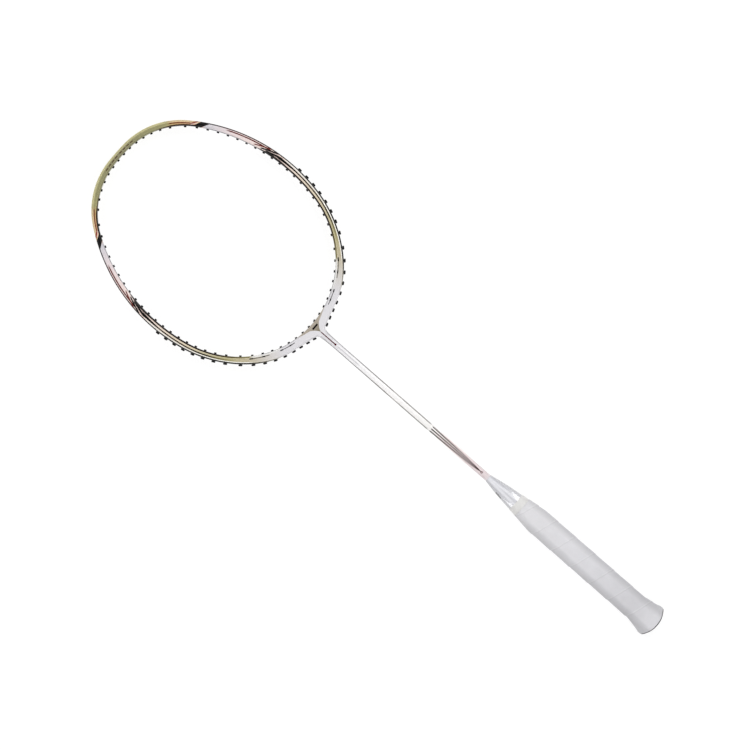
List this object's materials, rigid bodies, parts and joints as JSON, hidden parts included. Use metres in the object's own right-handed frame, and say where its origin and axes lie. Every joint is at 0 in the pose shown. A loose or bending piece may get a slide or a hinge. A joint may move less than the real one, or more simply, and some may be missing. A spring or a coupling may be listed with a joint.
{
  "type": "badminton racket",
  "caption": "Unstrung badminton racket with an oval box-section head, slim shaft, tapered cone and flared octagonal grip.",
  "frame": {"origin": "middle of the flat pad on the butt end, on the racket's long axis", "axes": "+Y along the shaft from the butt to the tip of the head, +X across the head, +Z square to the string plane (the racket lies flat)"},
  "size_m": [0.2056, 0.675, 0.0304],
  "materials": {
    "frame_paint": "pearl and champagne gloss lacquer over carbon fibre laminate",
    "shaft_paint": "pearl gloss lacquer over carbon fibre tube",
    "insert_plastic": "moulded insert",
    "cone_plastic": "glossy white moulding",
    "band_tape": "warm white adhesive tape",
    "core_wood": "bare wood",
    "grip_polyurethane": "matte white polyurethane tape",
    "cap_plastic": "satin dark plastic",
    "grommet_nylon": "black nylon"
  },
  "bodies": {
    "root": {"head_frame": "frame_paint", "t_joint": "insert_plastic", "shaft": "shaft_paint", "cone": "cone_plastic", "finishing_tape": "band_tape", "handle_core": "core_wood", "grip_tape": "grip_polyurethane", "butt_cap": "cap_plastic", "throat_grommet_pair_1": "grommet_nylon", "throat_grommet_pair_2": "grommet_nylon", "throat_grommet_pair_3": "grommet_nylon", "throat_grommet_pair_4": "grommet_nylon", "throat_grommet_pair_5": "grommet_nylon", "throat_grommet_pair_6": "grommet_nylon", "throat_grommet_pair_7": "grommet_nylon", "throat_grommet_pair_8": "grommet_nylon", "throat_grommet_pair_9": "grommet_nylon", "side_grommet_pair_1": "grommet_nylon", "side_grommet_pair_2": "grommet_nylon", "side_grommet_pair_3": "grommet_nylon", "side_grommet_pair_4": "grommet_nylon", "side_grommet_pair_5": "grommet_nylon", "side_grommet_pair_6": "grommet_nylon", "side_grommet_pair_7": "grommet_nylon", "side_grommet_pair_8": "grommet_nylon", "side_grommet_pair_9": "grommet_nylon", "side_grommet_pair_10": "grommet_nylon", "side_grommet_pair_11": "grommet_nylon", "side_grommet_pair_12": "grommet_nylon", "side_grommet_pair_13": "grommet_nylon", "side_grommet_pair_14": "grommet_nylon", "side_grommet_pair_15": "grommet_nylon", "side_grommet_pair_16": "grommet_nylon", "side_grommet_pair_17": "grommet_nylon", "side_grommet_pair_18": "grommet_nylon", "side_grommet_pair_19": "grommet_nylon", "side_grommet_pair_20": "grommet_nylon", "tip_grommet_pair_1": "grommet_nylon", "tip_grommet_pair_2": "grommet_nylon", "tip_grommet_pair_3": "grommet_nylon", "tip_grommet_pair_4": "grommet_nylon", "tip_grommet_pair_5": "grommet_nylon", "tip_grommet_pair_6": "grommet_nylon", "tip_grommet_pair_7": "grommet_nylon"}
  },
  "joints": []
}
